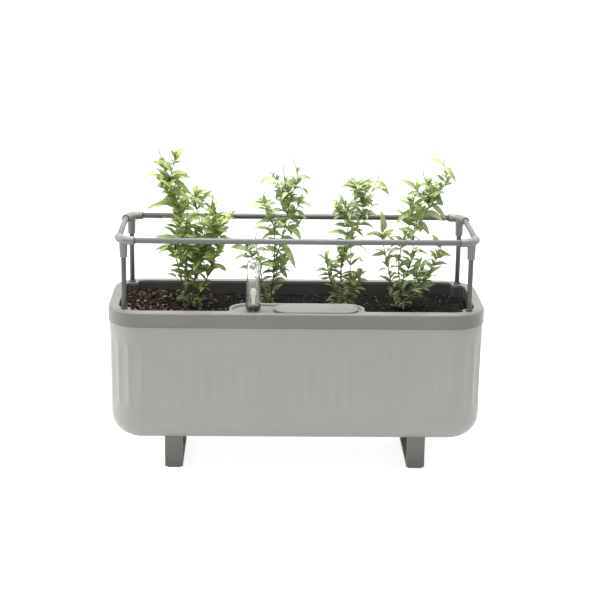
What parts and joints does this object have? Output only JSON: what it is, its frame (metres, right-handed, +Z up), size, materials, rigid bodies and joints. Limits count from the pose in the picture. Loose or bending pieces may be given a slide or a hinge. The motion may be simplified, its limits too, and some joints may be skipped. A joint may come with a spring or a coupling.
{
  "type": "indoor herb planter",
  "caption": "Self-watering indoor herb planter: fluted oblong pot on two bar feet, lift-out liner with soil and herbs, filler lid, water level indicator and lift-off plant rail.",
  "frame": {"origin": "on the ground under the middle of the planter's bounding box, level with the underside of the foot pads", "axes": "+X along the length to the right seen from the front, +Y to the rear, +Z up; the filler lid and the water level indicator face -Y"},
  "size_m": [0.52, 0.192, 0.4407],
  "materials": {
    "pot": "satin grey-green moulded plastic",
    "liner": "satin pale grey moulded plastic",
    "basket": "matt dark moulded plastic",
    "soil": "rough dark peat with bark and grit",
    "herb": "satin green leaves",
    "lid": "finely textured pale grey plastic",
    "clear_tube": "clear moulded plastic",
    "collar": "dark grey plastic",
    "stem": "white plastic",
    "bulb": "cream plastic",
    "float": "white foam-like plastic",
    "post": "satin grey coated rod",
    "connector": "satin grey moulded plastic",
    "rail": "satin grey coated rod",
    "foot": "satin mid grey moulded plastic",
    "pad": "matt black rubber",
    "screw": "zinc plated steel"
  },
  "bodies": {
    "pot": {"outer_pot": "pot", "left_foot": "foot", "right_foot": "foot", "left_foot_pad": "pad", "right_foot_pad": "pad", "foot_screws": "screw"},
    "liner": {"inner_liner": "liner", "wick_basket_left": "basket", "wick_basket_right": "basket", "soil": "soil", "herb_1": "herb", "herb_2": "herb", "herb_3": "herb", "herb_4": "herb", "level_tube": "clear_tube", "level_collar": "collar"},
    "lid": {"filler_lid": "lid"},
    "water_gauge": {"float_stem": "stem", "level_bulb": "bulb", "float": "float"},
    "trellis": {"front_left_post": "post", "front_right_post": "post", "rear_left_post": "post", "rear_right_post": "post", "corner_connectors": "connector", "front_rail": "rail", "rear_rail": "rail", "left_rail": "rail", "right_rail": "rail"}
  },
  "joints": [
    {"name": "liner_lift", "type": "slide", "parent": "pot", "child": "liner", "axis": [0, 0, 1], "range_m": [0, 0.185]},
    {"name": "lid_lift", "type": "slide", "parent": "liner", "child": "lid", "axis": [0, 0, 1], "range_m": [0, 0.075]},
    {"name": "float_rise", "type": "slide", "parent": "liner", "child": "water_gauge", "axis": [0, 0, 1], "range_m": [0, 0.036]},
    {"name": "trellis_lift", "type": "slide", "parent": "liner", "child": "trellis", "axis": [0, 0, 1], "range_m": [0, 0.24]}
  ]
}
